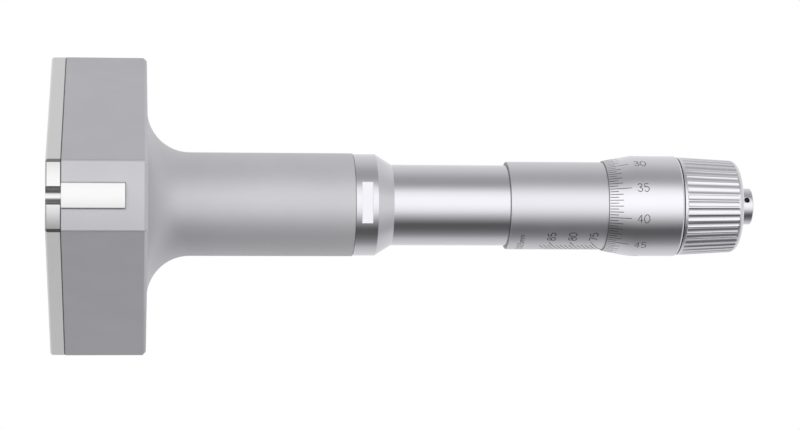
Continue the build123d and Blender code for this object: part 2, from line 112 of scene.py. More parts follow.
# Head and cover
ARMS = 3
ARM_TURN = math.radians(120)
ARM_END = FACE_RADIUS - 1.0
ARM_HALF_WIDTH = 7.8
HEAD_REAR = COVER_REAR + 19.05
CORNER_BREAK = 0.5
REAR_CHAMFER = 0.8
COVER_ROUNDING = 0.7
NECK_FILLET = 10.0
NECK_ROOT = HEAD_REAR - 6.0
CONE_ROOM_RADIUS = CONE_BASE_RADIUS + 0.15
SPIGOT_RADIUS = STEM_RADIUS - 2.1
POCKET_RADIUS = JOINTS["anvil_slide_1"]["deforming_nodes"][0]["fixed_end_from_axis_m"] / MM
FOOT_RADIUS = 16.0
FOOT_REAR = TIP_REAR + 3.6
NOTCH_RADIUS = 2.0
SCREW_CIRCLE = 17.0
SCREW_RADIUS = 1.5
SCREW_HEAD_RADIUS = 2.8
SCREW_SINK = 0.15
SCREW_END = SCREW_SINK + 10.1
NOSE_WALL = 1.4
NOSE_ROOM_RADIUS = 3.6
SEAM_BREAK = 0.14
ARM_END_BREAK = 0.12
NOTCH_BREAK = 0.08
STEEP_NOTCH = 0.3

# Crown of the arm ends, and how far its top lies from their middle
BODY_CROWN_RADIUS = 50.0
COVER_CROWN_RADIUS = 22.0
CROWN_SHIFT = 1.1

# Measuring faces
TIP_THICKNESS = 1.5
TIP_WIDTH = 5.75
TIP_CROWN_RADIUS = 16.0
TIP_BREAK = 0.18
TIP_CUTS = 15
SLOT_WIDTH = TIP_WIDTH + 2 * RUNNING

# Barrel and sleeve
RING_END = STEM_END + 5.3
TUBE_START = RING_END + 3.9
TUBE_RADIUS = 9.5
ROD_BORE_RADIUS = 4.6
RELIEF_BORE_RADIUS = 6.5
RELIEF_START = TUBE_START + 12
FLAT_START = STEM_END + 1.55
FLAT_WIDTH = 2.5
FLAT_DEPTH = 1.0
FLAT_BREAK = 0.07
RING_ROUNDING = 0.3
RING_SHADOW = 0.22
LIP_PLACE = SLEEVE_START + 0.38
LIP_ROUNDING = 0.3
LIP_SHADOW = 0.1

# Thimble
EDGE_RADIUS = SLEEVE_RADIUS + RUNNING + 0.26
EDGE_ROUNDING = 0.15
TAPER_END = THIMBLE_EDGE + 6.6
STRAIGHT_END = TAPER_END + 10.75
THIMBLE_END = STRAIGHT_END + 0.5
REAR_SLOPE_DEPTH = 0.4
LIT_SLOPE = 0.8
SHADOW_START = STRAIGHT_END + (THIMBLE_END - STRAIGHT_END) * LIT_SLOPE
EXTENSION_BORE_RADIUS = ADJUSTER_RADIUS + 0.2
CAVITY_STEP = BARREL_END + FEED + END_PLAY
CAVITY_END = ADJUSTER_END + FEED + END_PLAY
REAR_BREAK = 0.06
HUB_SMALL_RADIUS = 4.4
HUB_LARGE_RADIUS = 5.0

# Knob and end cap
KNOB_REAR_RADIUS = KNOB_FRONT_RADIUS - 0.7
KNOB_CORNER = KNOB_END - 1.85
KNOB_CORNER_DEPTH = 1.65
KNOB_CORNER_STEPS = 18
KNOB_EDGE_DEPTH = 0.12
KNOB_EDGE_LENGTH = 0.14
KNOB_WEB_START = KNOB_END - 2.2
FLUTE_START = KNOB_START + 0.6
FLUTE_END = KNOB_CORNER + 0.65
FLUTES = 45
FLUTE_DEPTH = 0.2
FIRST_FLUTE = math.radians(0.3)
CAP_START = KNOB_END + RUNNING
CAP_NECK_RADIUS = 3.4
CAP_SHANK_RADIUS = 2.0
CAP_SHANK_LENGTH = 9.0
CAP_ROUNDING = 0.32
TOMMY_RADIUS = 0.65
TOMMY_BREAK = 0.08
TOMMY_PLACE = CAP_END - 1.55
TOMMY_TURN = math.radians(-18)

# Springs
COIL_RADIUS = 1.35
WIRE_RADIUS = 0.25
COIL_TURNS = 6

# How finely round shapes are divided
TURN_STEPS = 192
BORE_STEPS = 96
NOTCH_STEPS = 64
HOLE_STEPS = 48
SCREW_STEPS = 32
NECK_STEPS = 16
COIL_STEPS = 24
WIRE_STEPS = 10


# Mesh tools


def tidy(shape):
    """Closes the seams of a shape and turns its faces outwards."""
    bmesh.ops.remove_doubles(shape, verts=shape.verts, dist=1e-4)
    bmesh.ops.dissolve_degenerate(shape, edges=shape.edges, dist=1e-5)
    bmesh.ops.recalc_face_normals(shape, faces=shape.faces)
    return shape


def turned(*points, steps=TURN_STEPS):
    """A closed shape turned about the axis from (radius, place) corners. No side runs along the axis."""
    shape = bmesh.new()
    corners = [shape.verts.new((radius, 0, place)) for radius, place in points]
    sides = [
        shape.edges.new((start, end))
        for start, end in zip(corners, corners[1:] + corners[:1])
        if start.co.x > 0 or end.co.x > 0
    ]
    bmesh.ops.spin(
        shape, geom=corners + sides, cent=(0, 0, 0), axis=(0, 0, 1),
        angle=2 * math.pi, steps=steps, use_merge=True,
    )
    return tidy(shape)


def rod(radius, start, end, steps):
    """A plain cylinder on the axis."""
    return turned((0, start), (radius, start), (radius, end), (0, end), steps=steps)


def block(near, far, width, start, end):
    """A box along the first arm, from one radius to another."""
    shape = bmesh.new()
    size = Matrix.Diagonal((far - near, width, end - start, 1))
    middle = Matrix.Translation(((near + far) / 2, 0, (start + end) / 2))
    bmesh.ops.create_cube(shape, size=1, matrix=middle @ size)
    return shape


def moved(shape, matrix):
    """The shape after a move or a turn."""
    shape.transform(matrix)
    return shape


def arm_copies(shape, turn=0):
    """One copy of the shape to each arm, turned this far from it, as a single shape."""
    mesh = bpy.data.meshes.new("pattern")
    shape.to_mesh(mesh)
    shape.free()
    mesh.transform(Matrix.Rotation(turn, 4, "Z"))
    copies = bmesh.new()
    for _ in range(ARMS):
        copies.from_mesh(mesh)
        mesh.transform(Matrix.Rotation(ARM_TURN, 4, "Z"))
    bpy.data.meshes.remove(mesh)
    return copies


def as_object(shape):
    """A scratch object that holds the shape."""
    mesh = bpy.data.meshes.new("scratch")
    shape.to_mesh(mesh)
    shape.free()
    item = bpy.data.objects.new("scratch", mesh)
    bpy.context.scene.collection.objects.link(item)
    return item


def joined(shape, operation, *others):
    """The shape after each of the others is cut out of it or added to it."""
    body = as_object(shape)
    tools = [as_object(other) for other in others]
    for tool in tools:
        step = body.modifiers.new("step", "BOOLEAN")
        step.operation = operation
        step.solver = "EXACT"
        step.object = tool
    bpy.context.view_layer.update()
    mesh = bpy.data.meshes.new_from_object(body.evaluated_get(bpy.context.evaluated_depsgraph_get()))
    result = bmesh.new()
    result.from_mesh(mesh)
    bpy.data.meshes.remove(mesh)
    for item in [body] + tools:
        leftover = item.data
        bpy.data.objects.remove(item)
        bpy.data.meshes.remove(leftover)
    return tidy(result)


def break_edges(shape, width, where, segments, sharper_than=25):
    """Bevels each edge that is sharper than this many degrees, where the test on its middle holds."""
    edges = [
        edge for edge in shape.edges
        if edge.is_manifold
        and edge.calc_face_angle(0) > math.radians(sharper_than)
        and where((edge.verts[0].co + edge.verts[1].co) / 2, edge)
    ]
    bmesh.ops.bevel(
        shape, geom=edges, offset=width, segments=segments, profile=0.5,
        affect="EDGES", material=-1, clamp_overlap=True,
    )
    return shape


def flat_radius(point):
    """Distance of a point from the gauge's axis."""
    return math.hypot(point.x, point.y)


def piece(name, shape, finish, body, *nodes, slot, inlay=None, inlay_where=None, sharp_from=32):
    """Lays a finished shape down in the frame as an object that rides on a body."""
    if inlay:
        for face in shape.faces:
            face.material_index = int(inlay_where(face.calc_center_median()))
    shape.transform(TO_FRAME)
    mesh = bpy.data.meshes.new(name)
    shape.to_mesh(mesh)
    shape.free()
    mesh.shade_smooth()
    mesh.set_sharp_from_angle(angle=math.radians(sharp_from))
    mesh.materials.append(finish)
    if inlay:
        mesh.materials.append(inlay)
    item = bpy.data.objects.new(name, mesh)
    bpy.context.scene.collection.objects.link(item)
    shading = item.modifiers.new("even_shading", "WEIGHTED_NORMAL")
    shading.keep_sharp = True
    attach(item, body)
    if nodes:
        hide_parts(*nodes)
    return item


# Shader tools


class Number:
    """A number that runs between nodes. A sum written on it adds its Math nodes."""

    def __init__(self, nodes, socket):
        self.nodes = nodes
        self.socket = socket

    def step(self, operation, *others):
        """One Math node on this number and the others."""
        terms = dict(enumerate((self, *others)))
        return self.nodes.number("ShaderNodeMath", {"operation": operation}, terms)

    def __add__(self, other):
        return self.step("ADD", other)

    def __sub__(self, other):
        return self.step("SUBTRACT", other)

    def __mul__(self, other):
        return self.step("MULTIPLY", other)

    def __truediv__(self, other):
        return self.step("DIVIDE", other)

    def __pow__(self, other):
        return self.step("POWER", other)

    def __rsub__(self, other):
        return self * -1 + other

    def held(self, least, most):
        """The number, kept between these two."""
        return self.step("MAXIMUM", least).step("MINIMUM", most)


class Nodes:
    """The node tree of a material or of the room's light."""

    def __init__(self, tree):
        self.tree = tree
        tree.nodes.clear()

    def add(self, kind, settings=None, inputs=None):
        """A new node with these settings, and each input set to a value or linked to a socket."""
        node = self.tree.nodes.new(kind)
        for name, value in (settings or {}).items():
            if name == "stops":
                self.set_stops(node.color_ramp, value)
            else:
                setattr(node, name, value)
        for name, value in (inputs or {}).items():
            if isinstance(value, Number):
                value = value.socket
            if isinstance(value, bpy.types.NodeSocket):
                self.tree.links.new(value, node.inputs[name])
            else:
                node.inputs[name].default_value = value
        return node

    def number(self, kind, settings=None, inputs=None, output=0):
        """One output of a new node, as a number."""
        return Number(self, self.add(kind, settings, inputs).outputs[output])

    @staticmethod
    def set_stops(ramp, stops):
        """Fills a colour ramp with (place, level) stops of grey."""
        for place, _ in stops[2:]:
            ramp.elements.new(place)
        for stop, (place, level) in zip(ramp.elements, stops):
            stop.position = place
            stop.color = (level, level, level, 1)


class Finish(Nodes):
    """A metal finish whose patterns are laid out on the gauge's own axis, in millimetres."""

    def __init__(self, name):
        self.material = bpy.data.materials.new(name)
        self.material.use_nodes = True
        super().__init__(self.material.node_tree)
        here = self.add("ShaderNodeTexCoord").outputs["Object"]
        self.place = self.add(
            "ShaderNodeMapping", {},
            {"Vector": here, "Scale": (1 / MM,) * 3, "Rotation": LYING.inverted().to_euler()},
        ).outputs[0]

    def noise(self, size, detail, stretch=(1, 1, 1)):
        """Soft noise whose patches are about this many millimetres across, stretched along the axes."""
        spread = self.add(
            "ShaderNodeMapping", {}, {"Vector": self.place, "Scale": tuple(1 / s for s in stretch)},
        ).outputs[0]
        inputs = {"Vector": spread, "Scale": 1 / size, "Detail": detail}
        return self.number("ShaderNodeTexNoise", {}, inputs)

    def crowned_arm_ends(self, crown_radius):
        """Height in millimetres of arm ends that are ground to a shallow curve across their width."""
        parts = self.add("ShaderNodeSeparateXYZ", {}, {0: self.place}).outputs
        x, y = Number(self, parts[0]), Number(self, parts[1])
        radius = (x * x + y * y) ** 0.5
        turn = y.step("ARCTAN2", x).step("WRAP", ARM_TURN / 2, -ARM_TURN / 2)
        flat_half = ARM_HALF_WIDTH - CORNER_BREAK
        from_top = (radius * turn.step("SINE")).held(-flat_half, flat_half) + CROWN_SHIFT
        on_end = (radius * turn.step("COSINE")).step("GREATER_THAN", ARM_END - 0.3)
        return from_top * from_top * on_end * (-0.5 / crown_radius)

    def behind(self, place, length):
        """A share that grows from 0 to 1 over this length behind a place on the axis."""
        along = self.add("ShaderNodeSeparateXYZ", {}, {0: self.place}).outputs[2]
        return ((Number(self, along) - place) / length).held(0, 1)

    def surface(self, dark, light, shade, roughness, height, relief, metallic=1.0):
        """Joins colour, gloss and relief. Shade goes from dark, 0, to light, 1. Relief is in mm."""
        colour = self.add(
            "ShaderNodeMix", {"data_type": "RGBA"}, {0: shade, 6: (*dark, 1), 7: (*light, 1)},
        ).outputs[2]
        bump = self.add(
            "ShaderNodeBump", {}, {"Strength": 1.0, "Distance": relief * MM, "Height": height},
        ).outputs[0]
        shader = self.add(
            "ShaderNodeBsdfPrincipled", {},
            {"Base Color": colour, "Metallic": metallic, "Roughness": roughness, "Normal": bump},
        )
        self.add("ShaderNodeOutputMaterial", {}, {"Surface": shader.outputs[0]})
        return self.material


def blasted_aluminium():
    """Fine matte grain with faint cloudiness, for the cast head and its stem."""
    finish = Finish("blasted_aluminium")
    grain = finish.noise(0.22, detail=3)
    clouds = finish.noise(9, detail=3)
    shade = grain * 0.35 + clouds * 0.65
    relief = 0.012
    stem = finish.behind(HEAD_REAR, NECK_FILLET)
    return finish.surface(
        dark=(0.645, 0.64, 0.67), light=(0.74, 0.735, 0.769), shade=shade,
        roughness=grain * 0.1 + 0.56 - stem * 0.1, metallic=1 - stem * 0.48,
        height=grain + finish.crowned_arm_ends(BODY_CROWN_RADIUS) * (1 / relief), relief=relief,
    )


# The faint blue of bright chrome
COOL = (1.008, 1.0, 1.06)


def turned_metal(name, tone, roughness, spread, tint=COOL):
    """Fine lines round the axis, as a lathe or a polishing belt leaves them."""
    finish = Finish(name)
    lines = finish.noise(0.16, detail=3, stretch=(60, 60, 1))
    clouds = finish.noise(7, detail=2)
    dark = tuple(c * (tone - spread) for c in tint)
    light = tuple(c * (tone + spread) for c in tint)
    return finish.surface(
        dark=dark, light=light, shade=lines * 0.4 + clouds * 0.6,
        roughness=lines * 0.06 + clouds * 0.04 + (roughness - 0.05), height=lines, relief=0.0003,
    )


def ground_metal(name, tone, roughness, stretch=(1, 40, 40), relief=0.0012, tint=(1, 1, 1), crown=None):
    """Straight fine grinding marks, for flat faces."""
    finish = Finish(name)
    marks = finish.noise(0.14, detail=3, stretch=stretch)
    clouds = finish.noise(6, detail=2)
    dark = tuple(c * (tone - 0.03) for c in tint)
    light = tuple(c * (tone + 0.03) for c in tint)
    height = marks + finish.crowned_arm_ends(crown) * (1 / relief) if crown else marks
    return finish.surface(
        dark=dark, light=light, shade=marks * 0.5 + clouds * 0.5,
        roughness=marks * 0.08 + (roughness - 0.04), height=height, relief=relief,
    )


def engraving_black():
    """The matte black paint that fills the graduations."""
    finish = Finish("engraving_black")
    grain = finish.noise(0.1, detail=2)
    return finish.surface(
        dark=(0.02, 0.02, 0.022), light=(0.045, 0.045, 0.05), shade=grain,
        roughness=grain * 0.1 + 0.7, height=grain, relief=0.001, metallic=0.0,
    )


# Finishes by material slot
FINISHES = {
    "matte_grey_aluminium": blasted_aluminium(),
    "ground_steel": ground_metal(
        "ground_steel", 0.77, 0.16, stretch=(40, 40, 1), relief=0.0004, crown=COVER_CROWN_RADIUS,
    ),
    "black_oxide_screws": turned_metal("black_oxide", 0.1, 0.42, 0.02),
    "hardened_steel": ground_metal("hardened_steel", 0.56, 0.26),
    "carbide": ground_metal("carbide", 0.79, 0.2, stretch=(40, 40, 1), relief=0.0005, tint=(1.01, 1, 1)),
    "spring_steel": turned_metal("spring_wire", 0.42, 0.3, 0.03),
    "bronze": turned_metal("bronze", 0.6, 0.3, 0.03, tint=(1, 0.72, 0.42)),
    "bright_chrome": turned_metal("bright_chrome", 0.745, 0.16, 0.015),
    "satin_chrome": turned_metal("satin_chrome", 0.75, 0.36, 0.015),
    "dark_steel": turned_metal("dark_steel", 0.26, 0.38, 0.03),
}

# Finishes of single pieces and of inlays
THIMBLE_CHROME = turned_metal("thimble_chrome", 0.785, 0.19, 0.012)
KNOB_CHROME = turned_metal("knob_chrome", 0.8, 0.22, 0.012)
# Painted shade: a dark finish laid where shade falls, on the head's seam, the ring's seam, the sleeve's lip, the
# thimble's front edge and the shaded end of its rear slope
SHADOWED_EDGE = turned_metal("shadowed_edge", 0.26, 0.4, 0.02)
# Painted shade: a darker steel laid on the cover's seam, the steep walls of its notches and its broken corners,
# where shade falls
PAINTED_SHADE_STEEL = ground_metal("steel_with_painted_shade", 0.4, 0.26, stretch=(40, 40, 1))
ENGRAVING = engraving_black()


# Head


def head_slab(front, rear):
    """A slab with the head's outline: flat arm ends joined by straight flanks."""
    slab = bmesh.new()
    corners = []
    for arm in range(ARMS):
        turn = Matrix.Rotation(arm * ARM_TURN, 3, "Z")
        for side in (-ARM_HALF_WIDTH, ARM_HALF_WIDTH):
            corners.append(slab.verts.new(turn @ Vector((ARM_END, side, front))))
    face = slab.faces.new(corners)
    grown = bmesh.ops.extrude_face_region(slab, geom=[face], use_keep_orig=True)["geom"]
    far_corners = [part for part in grown if isinstance(part, bmesh.types.BMVert)]
    bmesh.ops.translate(slab, verts=far_corners, vec=(0, 0, rear - front))
    return tidy(slab)


def upright(middle, edge):
    """Is this one of the slab's edges along the axis?"""
    return abs((edge.verts[0].co - edge.verts[1].co).normalized().z) > 0.9


def at_place(place):
    """A test for edges that lie at one place along the axis."""
    return lambda middle, edge: abs(middle.z - place) < 0.01 and not upright(middle, edge)


def make_head():
    """Body, neck and stem in one, bored and slotted as the solid is."""
    body = break_edges(head_slab(COVER_REAR, HEAD_REAR), CORNER_BREAK, segments=3, where=upright)
    body = break_edges(tidy(body), REAR_CHAMFER, segments=1, where=at_place(HEAD_REAR), sharper_than=60)
    body = break_edges(tidy(body), SEAM_BREAK, segments=1, where=at_place(COVER_REAR), sharper_than=60)
    neck = [
        (
            STEM_RADIUS + NECK_FILLET * (1 - math.cos(turn)),
            HEAD_REAR + NECK_FILLET * (1 - math.sin(turn)),
        )
        for turn in (math.pi / 2 * step / NECK_STEPS for step in range(NECK_STEPS, -1, -1))
    ]
    stem = turned((0, NECK_ROOT), (neck[0][0], NECK_ROOT), *neck, (STEM_RADIUS, STEM_END), (0, STEM_END))
    body = joined(tidy(body), "UNION", stem)
    bore = turned(
        (0, COVER_REAR - OVERCUT),
        (CONE_ROOM_RADIUS, COVER_REAR - OVERCUT),
        (CONE_ROOM_RADIUS, BUSH_START),
        (BUSH_RADIUS + SEATED, BUSH_START),
        (BUSH_RADIUS + SEATED, BUSH_END),
        (SPIGOT_RADIUS, BUSH_END),
        (SPIGOT_RADIUS, STEM_END + OVERCUT),
        (0, STEM_END + OVERCUT),
        steps=BORE_STEPS,
    )
    slots = arm_copies(block(0, ARM_END + 5 * OVERCUT, SLOT_WIDTH, COVER_REAR - OVERCUT, TIP_REAR + RUNNING))
    pockets = arm_copies(block(0, POCKET_RADIUS, SLOT_WIDTH, COVER_REAR - 2 * OVERCUT, FOOT_REAR + RUNNING))
    screw_hole = rod(SCREW_RADIUS, COVER_REAR - OVERCUT, SCREW_END, steps=SCREW_STEPS)
    screw_hole = moved(screw_hole, Matrix.Translation((SCREW_CIRCLE, 0, 0)))
    body = joined(body, "DIFFERENCE", bore, slots, pockets, arm_copies(screw_hole, ARM_TURN / 2))

    def on_arm_end(middle, edge):
        return flat_radius(middle) > POCKET_RADIUS + 1 and middle.z > COVER_REAR + 0.2

    return break_edges(body, ARM_END_BREAK, segments=2, where=on_arm_end, sharper_than=40)


def make_cover():
    """The cover plate, with its half-round notches, its countersinks and room for the cone's nose."""
    cover = break_edges(head_slab(0, COVER_REAR), CORNER_BREAK, segments=1, where=upright)
    cover = break_edges(tidy(cover), COVER_ROUNDING, segments=3, where=at_place(0), sharper_than=60)
    cover = break_edges(tidy(cover), SEAM_BREAK, segments=1, where=at_place(COVER_REAR), sharper_than=60)
    notch = rod(NOTCH_RADIUS, -OVERCUT, COVER_REAR + OVERCUT, steps=NOTCH_STEPS)
    notch = moved(notch, Matrix.Translation((ARM_END, 0, 0)))
    sink = SCREW_HEAD_RADIUS - SCREW_RADIUS
    countersink = turned(
        (0, -OVERCUT),
        (SCREW_HEAD_RADIUS + SEATED, -OVERCUT),
        (SCREW_HEAD_RADIUS + SEATED, SCREW_SINK),
        (SCREW_RADIUS + SEATED, SCREW_SINK + sink),
        (SCREW_RADIUS + SEATED, COVER_REAR + OVERCUT),
        (0, COVER_REAR + OVERCUT),
        steps=HOLE_STEPS,
    )
    countersink = moved(countersink, Matrix.Translation((SCREW_CIRCLE, 0, 0)))
    nose_room = rod(NOSE_ROOM_RADIUS, NOSE_WALL, COVER_REAR + OVERCUT, steps=NOTCH_STEPS)
    cover = joined(
        tidy(cover), "DIFFERENCE", arm_copies(notch), arm_copies(countersink, ARM_TURN / 2), nose_room,
    )

    def outside(middle, edge):
        return flat_radius(middle) > ARM_END - NOTCH_RADIUS - 1 and middle.z < COVER_REAR - 0.2

    return break_edges(cover, NOTCH_BREAK, segments=2, where=outside, sharper_than=40)


def in_cover_seam(middle):
    """Is this point on the broken edges that meet between the cover and the body, where shade is painted?"""
    return abs(middle.z - COVER_REAR) < SEAM_BREAK


def milled_after_grinding(middle):
    """Is this point where the cover's shade is painted: its seam, a notch's steep wall or an arm's broken corner?
    """
    for arm in range(ARMS):
        local = Matrix.Rotation(-arm * ARM_TURN, 3, "Z") @ middle
        from_notch = math.hypot(local.x - ARM_END, local.y)
        steep = from_notch < NOTCH_RADIUS + 0.01 and abs(local.y) > STEEP_NOTCH * NOTCH_RADIUS
        from_corner = abs(abs(local.y) - ARM_HALF_WIDTH)
        if steep or (local.x > ARM_END - CORNER_BREAK and from_corner < 0.8 * CORNER_BREAK):
            return True
    return in_cover_seam(middle)


def make_tip(arm):
    """The hard face of one anvil, crowned across its width and broken at its edges."""
    near = FACE_RADIUS - TIP_THICKNESS
    tip = block(near, FACE_RADIUS, TIP_WIDTH, TIP_FRONT, TIP_REAR)
    crosswise = [edge for edge in tip.edges if abs(edge.verts[0].co.y - edge.verts[1].co.y) > 1]
    bmesh.ops.subdivide_edges(tip, edges=crosswise, cuts=TIP_CUTS, use_grid_fill=True)
    for corner in tip.verts:
        if corner.co.x > near + TIP_THICKNESS / 2:
            corner.co.x -= TIP_CROWN_RADIUS - math.sqrt(TIP_CROWN_RADIUS ** 2 - corner.co.y ** 2)

    def on_face(middle, edge):
        return middle.x > near + TIP_THICKNESS / 3

    break_edges(tidy(tip), TIP_BREAK, segments=3, sharper_than=60, where=on_face)
    return moved(tip, Matrix.Rotation(arm * ARM_TURN, 4, "Z"))


def make_coil(arm):
    """One return spring, wound from a round wire between its anvil's foot and the pocket's wall."""
    start = FOOT_RADIUS + SEATED + WIRE_RADIUS
    length = POCKET_RADIUS - SEATED - WIRE_RADIUS - start
    steps = COIL_TURNS * COIL_STEPS
    coil = bmesh.new()
    wire = bmesh.ops.create_circle(
        coil, segments=WIRE_STEPS, radius=WIRE_RADIUS, cap_ends=True,
        matrix=Matrix.Translation((COIL_RADIUS, 0, 0)) @ Matrix.Rotation(math.pi / 2, 4, "X"),
    )["verts"]
    bmesh.ops.spin(
        coil, geom=list(coil.faces) + list(coil.edges) + wire, cent=(0, 0, 0), axis=(0, 0, 1),
        dvec=(0, 0, length / steps), angle=2 * math.pi * COIL_TURNS, steps=steps,
    )
    middle = (TIP_REAR + FOOT_REAR + 2 * RUNNING) / 2
    standing = Matrix.Translation((start, 0, middle)) @ Matrix.Rotation(math.pi / 2, 4, "Y")
    return moved(tidy(coil), Matrix.Rotation(arm * ARM_TURN, 4, "Z") @ standing)


# Barrel, sleeve, thimble, knob and cap


def make_barrel():
    """Spigot, ring with two spanner flats, cone and tube."""
    barrel = turned(
        (ROD_BORE_RADIUS, BUSH_END),
        (SPIGOT_RADIUS - SEATED, BUSH_END),
        (SPIGOT_RADIUS - SEATED, STEM_END),
        (RING_RADIUS, STEM_END),
        (RING_RADIUS, RING_END),
        (TUBE_RADIUS, TUBE_START),
        (TUBE_RADIUS, BARREL_END),
        (NUT_RADIUS + SEATED, BARREL_END),
        (NUT_RADIUS + SEATED, NUT_START - SEATED),
        (RELIEF_BORE_RADIUS, NUT_START - SEATED),
        (RELIEF_BORE_RADIUS, RELIEF_START),
        (ROD_BORE_RADIUS, RELIEF_START - (RELIEF_BORE_RADIUS - ROD_BORE_RADIUS)),
    )
    width = 2 * RING_RADIUS
    flat = block(RING_RADIUS - FLAT_DEPTH, 2 * RING_RADIUS, width, FLAT_START, FLAT_START + FLAT_WIDTH)
    other_flat = moved(flat.copy(), Matrix.Rotation(math.pi, 4, "Z"))

    def on_ring_front(middle, edge):
        return abs(flat_radius(middle) - RING_RADIUS) < 0.02 and middle.z < STEM_END + 0.1

    def on_ring(middle, edge):
        return STEM_END + 0.5 < middle.z < RING_END + 1 and flat_radius(middle) > TUBE_RADIUS + 0.2

    barrel = break_edges(barrel, RING_ROUNDING, segments=3, sharper_than=60, where=on_ring_front)
    barrel = joined(tidy(barrel), "DIFFERENCE", flat, other_flat)
    return break_edges(barrel, FLAT_BREAK, segments=2, sharper_than=30, where=on_ring)


def in_ring_seam(middle):
    """Is this point at the start of the ring's rounding, where the ring meets the stem and shade is painted?"""
    return STEM_END - SEATED < middle.z < STEM_END + RING_SHADOW


def make_sleeve():
    """The graduated sleeve, with its front lip broken."""
    inner = TUBE_RADIUS + SEATED
    sleeve = turned(
        (inner, LIP_PLACE),
        (SLEEVE_RADIUS, LIP_PLACE),
        (SLEEVE_RADIUS, BARREL_END),
        (inner, BARREL_END),
    )

    def on_lip(middle, edge):
        return abs(middle.z - LIP_PLACE) < 0.01 and flat_radius(middle) > SLEEVE_RADIUS - 0.1

    return break_edges(sleeve, LIP_ROUNDING, segments=4, where=on_lip)


def make_thimble():
    """The graduated thimble, with the extension that carries the knob."""
    bore = SLEEVE_RADIUS + RUNNING
    thimble = turned(
        (bore, THIMBLE_EDGE),
        (EDGE_RADIUS, THIMBLE_EDGE),
        (THIMBLE_RADIUS, TAPER_END),
        (THIMBLE_RADIUS, STRAIGHT_END),
        (THIMBLE_RADIUS - REAR_SLOPE_DEPTH * LIT_SLOPE, SHADOW_START),
        (THIMBLE_RADIUS - REAR_SLOPE_DEPTH, THIMBLE_END),
        (EXTENSION_RADIUS, THIMBLE_END),
        (EXTENSION_RADIUS, HUB_END),
        (HUB_LARGE_RADIUS, HUB_END),
        (HUB_SMALL_RADIUS, CAVITY_END),
        (EXTENSION_BORE_RADIUS, CAVITY_END),
        (EXTENSION_BORE_RADIUS, CAVITY_STEP),
        (bore, CAVITY_STEP),
    )

    def on_front(middle, edge):
        return abs(middle.z - THIMBLE_EDGE) < 0.01 and flat_radius(middle) > SLEEVE_RADIUS + 0.2

    def behind_taper(middle, edge):
        return middle.z > TAPER_END + 0.1

    thimble = break_edges(tidy(thimble), EDGE_ROUNDING, segments=2, where=on_front)
    return break_edges(tidy(thimble), REAR_BREAK, segments=2, where=behind_taper)


def in_thimble_shadow(middle):
    """Is this point on the thimble's front edge, or in the gap between the thimble and the knob, where shade is
    painted?
    """
    in_gap = middle.z > SHADOW_START and flat_radius(middle) > EXTENSION_RADIUS + 0.3
    return in_gap or middle.z < THIMBLE_EDGE + EDGE_ROUNDING


# Half of one flute: degrees from its middle, and share of the full depth there
FLUTE_SECTION = (
    (0, 1), (0.7, 0.963), (1.4, 0.85), (2, 0.692), (2.5, 0.514), (2.9, 0.34), (3.2, 0.185), (3.4, 0.08),
    (3.55, 0.02), (3.7, 0), (4, 0),
)
FLUTE_COLUMNS = 2 * len(FLUTE_SECTION) - 2


def knob_radius(place):
    """Radius of the knob's gently tapered side, carried on past its corner."""
    share = (place - KNOB_START) / (KNOB_CORNER - KNOB_START)
    return KNOB_FRONT_RADIUS + share * (KNOB_REAR_RADIUS - KNOB_FRONT_RADIUS)


def make_knob():
    """The fluted knob. Its skin is turned in narrow columns, and each flute's columns are pressed in."""
    inner = EXTENSION_RADIUS + RUNNING
    neck = CAP_NECK_RADIUS + RUNNING
    corner_length = KNOB_END - KNOB_CORNER
    corner_radius = (corner_length ** 2 + KNOB_CORNER_DEPTH ** 2) / (2 * KNOB_CORNER_DEPTH)
    corner_turn = math.asin(corner_length / corner_radius)
    turns = (corner_turn * step / KNOB_CORNER_STEPS for step in range(1, KNOB_CORNER_STEPS + 1))
    corner = [
        (
            KNOB_REAR_RADIUS - corner_radius * (1 - math.cos(turn)),
            KNOB_CORNER + corner_radius * math.sin(turn),
        )
        for turn in turns
    ]
    flute_rows = [FLUTE_START + FLUTE_DEPTH * share for share in (0, 0.15, 0.5, 0.85, 1)]
    side_length = KNOB_CORNER - FLUTE_START
    side_rows = flute_rows + [FLUTE_START + side_length * share / 6 for share in range(2, 7)]
    knob = turned(
        (neck, KNOB_WEB_START),
        (inner, KNOB_WEB_START),
        (inner, KNOB_START),
        (KNOB_FRONT_RADIUS - KNOB_EDGE_DEPTH, KNOB_START),
        (KNOB_FRONT_RADIUS - KNOB_EDGE_DEPTH / 4, KNOB_START + KNOB_EDGE_LENGTH * 2 / 7),
        (knob_radius(KNOB_START + KNOB_EDGE_LENGTH), KNOB_START + KNOB_EDGE_LENGTH),
        *[(knob_radius(row), row) for row in side_rows],
        *corner,
        (neck, KNOB_END),
        steps=FLUTES * FLUTE_COLUMNS,
    )
    pitch = 2 * math.pi / FLUTES
    column_turn = pitch / FLUTE_COLUMNS
    for point in knob.verts:
        place = point.co.z
        radius = flat_radius(point.co)
        column = round(math.atan2(point.co.y, point.co.x) / column_turn)
        flute, step = divmod(column + FLUTE_COLUMNS // 2, FLUTE_COLUMNS)
        step -= FLUTE_COLUMNS // 2
        degrees, depth_share = FLUTE_SECTION[abs(step)]
        turn = flute * pitch + math.copysign(math.radians(degrees), step)
        if radius > inner + 0.2 and FLUTE_START < place < FLUTE_END:
            depth = min(FLUTE_DEPTH, place - FLUTE_START, FLUTE_END - place) * depth_share
            radius = min(radius, knob_radius(place) - depth)
        point.co = (radius * math.cos(turn), radius * math.sin(turn), place)
    return moved(tidy(knob), Matrix.Rotation(FIRST_FLUTE, 4, "Z"))


